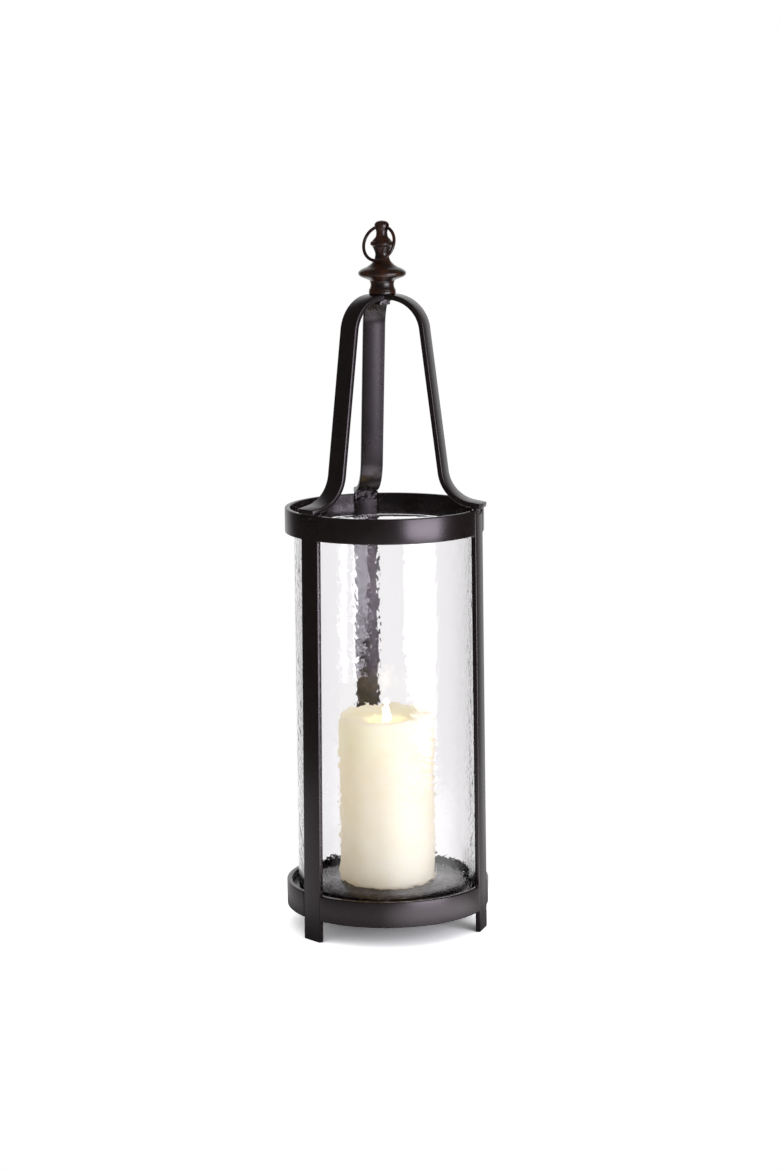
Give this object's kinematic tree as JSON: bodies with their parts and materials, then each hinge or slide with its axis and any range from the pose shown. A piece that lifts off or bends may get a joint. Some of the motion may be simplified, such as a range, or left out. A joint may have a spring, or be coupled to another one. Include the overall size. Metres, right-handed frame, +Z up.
{
  "type": "candle lantern",
  "caption": "Tall round hurricane lantern: flat-bar frame on three feet, ogee strap crown with turned finial and ring, loose hammered glass chimney, battery pillar candle.",
  "frame": {"origin": "floor level, on the axis of the two hoops", "axes": "+Z up along the axis of the hoops; -Y is the front, between the two front legs, and the third leg stands behind on +Y; +X is the viewer's right"},
  "size_m": [0.16, 0.1609, 0.5564],
  "materials": {
    "frame_paint": "satin",
    "weld_bead": "satin",
    "aged_bronze": "satin",
    "plated_steel": "satin",
    "hammered_glass": "rippled",
    "ivory_wax": "waxy satin",
    "unit_plastic": "matte",
    "switch_plastic": "matte",
    "flame_plastic": "glowing"
  },
  "bodies": {
    "frame": {"base_hoop_front": "frame_paint", "base_hoop_right": "frame_paint", "base_hoop_left": "frame_paint", "top_hoop_front": "frame_paint", "top_hoop_right": "frame_paint", "top_hoop_left": "frame_paint", "leg_front_left": "frame_paint", "leg_front_right": "frame_paint", "leg_back": "frame_paint", "base_hoop_welds": "weld_bead", "top_hoop_welds": "weld_bead", "plate_welds": "weld_bead", "base_plate": "frame_paint", "strap_front_left": "frame_paint", "strap_front_right": "frame_paint", "strap_back": "frame_paint", "strap_welds": "weld_bead", "crown_washer": "plated_steel", "crown_nut": "plated_steel", "finial_stud": "plated_steel", "finial": "aged_bronze"},
    "ring": {"hanging_ring": "aged_bronze"},
    "glass": {"glass_chimney": "hammered_glass"},
    "candle": {"candle_wax": "ivory_wax", "candle_core": "unit_plastic", "candle_cap": "unit_plastic", "flame_wire": "plated_steel"},
    "door": {"candle_door": "unit_plastic"},
    "switch": {"candle_switch": "switch_plastic"},
    "flame": {"candle_flame": "flame_plastic"}
  },
  "joints": [
    {"name": "ring_swing", "type": "hinge", "parent": "frame", "child": "ring", "pos_m": [0, 0, 0.5514], "axis": [-0.7071, 0.7071, 0], "range_deg": [0, 322]},
    {"name": "glass_lift", "type": "slide", "parent": "frame", "child": "glass", "axis": [0, 0, 1], "range_m": [0, 0.015]},
    {"name": "candle_lift", "type": "slide", "parent": "frame", "child": "candle", "axis": [0, 0, 1], "range_m": [0, 0.235]},
    {"name": "door_twist", "type": "hinge", "parent": "candle", "child": "door", "pos_m": [0, 0, 0.0383], "axis": [0, 0, 1], "range_deg": [0, 30]},
    {"name": "switch_slide", "type": "slide", "parent": "candle", "child": "switch", "axis": [1, 0, 0], "range_m": [0, 0.004]},
    {"name": "flame_sway", "type": "hinge", "parent": "candle", "child": "flame", "pos_m": [0, 0, 0.144], "axis": [1, 0, 0], "range_deg": [-6, 6], "stiffness_Nm_per_rad": 0.0006}
  ]
}
